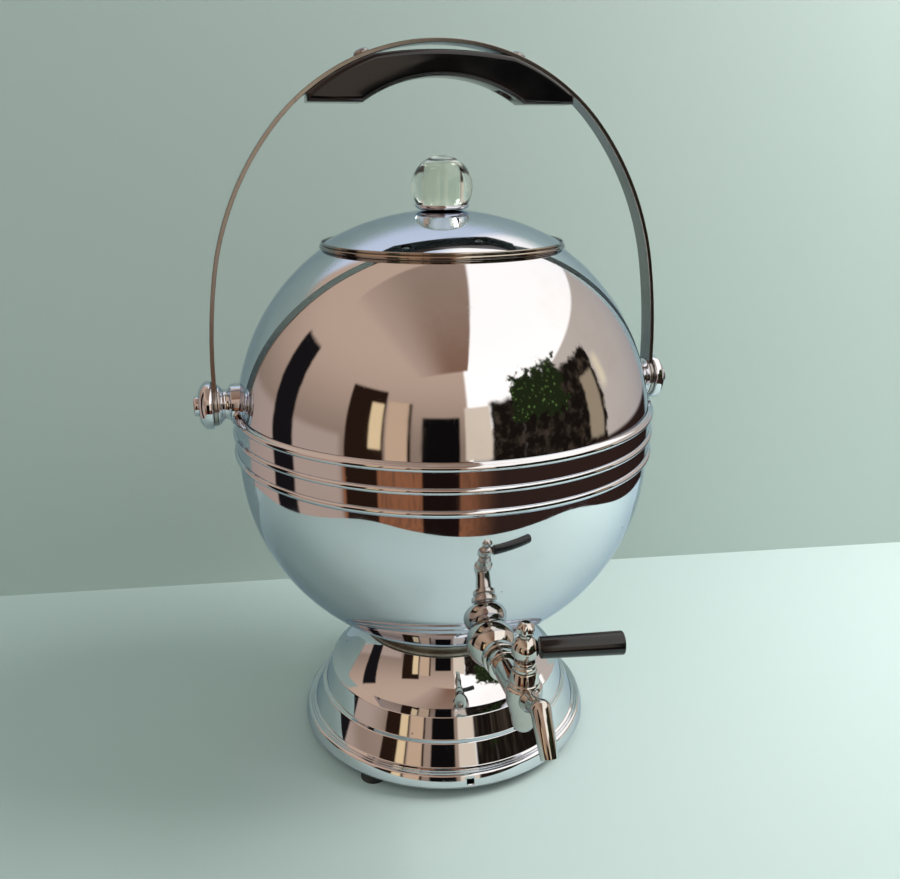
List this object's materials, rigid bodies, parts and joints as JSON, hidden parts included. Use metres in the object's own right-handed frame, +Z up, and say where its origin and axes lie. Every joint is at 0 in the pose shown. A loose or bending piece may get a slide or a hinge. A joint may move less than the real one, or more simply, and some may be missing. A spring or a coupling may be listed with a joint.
{
  "type": "electric samovar",
  "caption": "Spherical water boiler on a stepped flared base, with a lever tap, a lift-off lid with a glass knob and a swinging bail handle.",
  "frame": {"origin": "on the table plane under the globe's vertical axis", "axes": "+Z up along the globe's axis; the tap points along -Y; the bail turns about an axis along X"},
  "size_m": [0.2498, 0.278, 0.3586],
  "materials": {
    "chrome": "polished",
    "chrome_dull": "worn plating",
    "steel": "plain",
    "brass": "plain",
    "black_plastic": "worn black moulding",
    "glass": "clear, faintly green",
    "rubber": "matt",
    "ceramic": "unglazed ceramic",
    "copper_lead": "sleeved"
  },
  "bodies": {
    "vessel": {"upper_shell": "chrome", "lower_shell": "chrome", "belt_band": "chrome", "base_bell": "chrome", "tap_boss": "chrome", "tap_collars": "chrome", "tap_body": "chrome", "tap_nozzle": "chrome", "tap_gland": "chrome", "pivot_boss_left": "chrome", "pivot_boss_right": "chrome", "pivot_cap_left": "chrome", "pivot_cap_right": "chrome", "pivot_screws": "chrome", "neck_ring": "chrome_dull", "mouth_ring": "chrome_dull", "inlet_shroud": "chrome_dull", "base_plate": "steel", "foot_screws": "steel", "tie_stud": "steel", "tie_washer": "steel", "tie_nut": "steel", "element_nuts": "steel", "pivot_washers": "steel", "pivot_nuts": "steel", "heating_element": "steel", "tap_saddle": "brass", "tap_nut": "brass", "inlet_pins": "brass", "feet": "rubber", "element_seals": "rubber", "inlet_insulator": "ceramic", "inner_leads": "copper_lead"},
    "bail": {"bail_strap": "chrome", "grip": "black_plastic", "grip_screws": "chrome_dull", "grip_nuts": "steel"},
    "lid": {"lid_shell": "chrome", "lid_rim": "chrome", "lid_skirt": "chrome_dull", "knob_ferrule": "chrome", "glass_knob": "glass", "knob_screw": "steel", "knob_washer": "steel", "knob_nut": "steel"},
    "tap_plug_body": {"tap_plug": "chrome", "tap_finial": "chrome", "handle_stud": "steel", "tap_handle": "black_plastic"}
  },
  "joints": [
    {"name": "bail_swing", "type": "hinge", "parent": "vessel", "child": "bail", "pos_m": [0, 0, 0.19149], "axis": [1, 0, 0], "range_deg": [-150, 106]},
    {"name": "lid_lift", "type": "slide", "parent": "vessel", "child": "lid", "axis": [0, 0, 1], "range_m": [0, 0.025]},
    {"name": "tap_turn", "type": "hinge", "parent": "vessel", "child": "tap_plug_body", "pos_m": [0, -0.13696, 0.09499], "axis": [0, 0, 1], "range_deg": [-90, 0]}
  ]
}
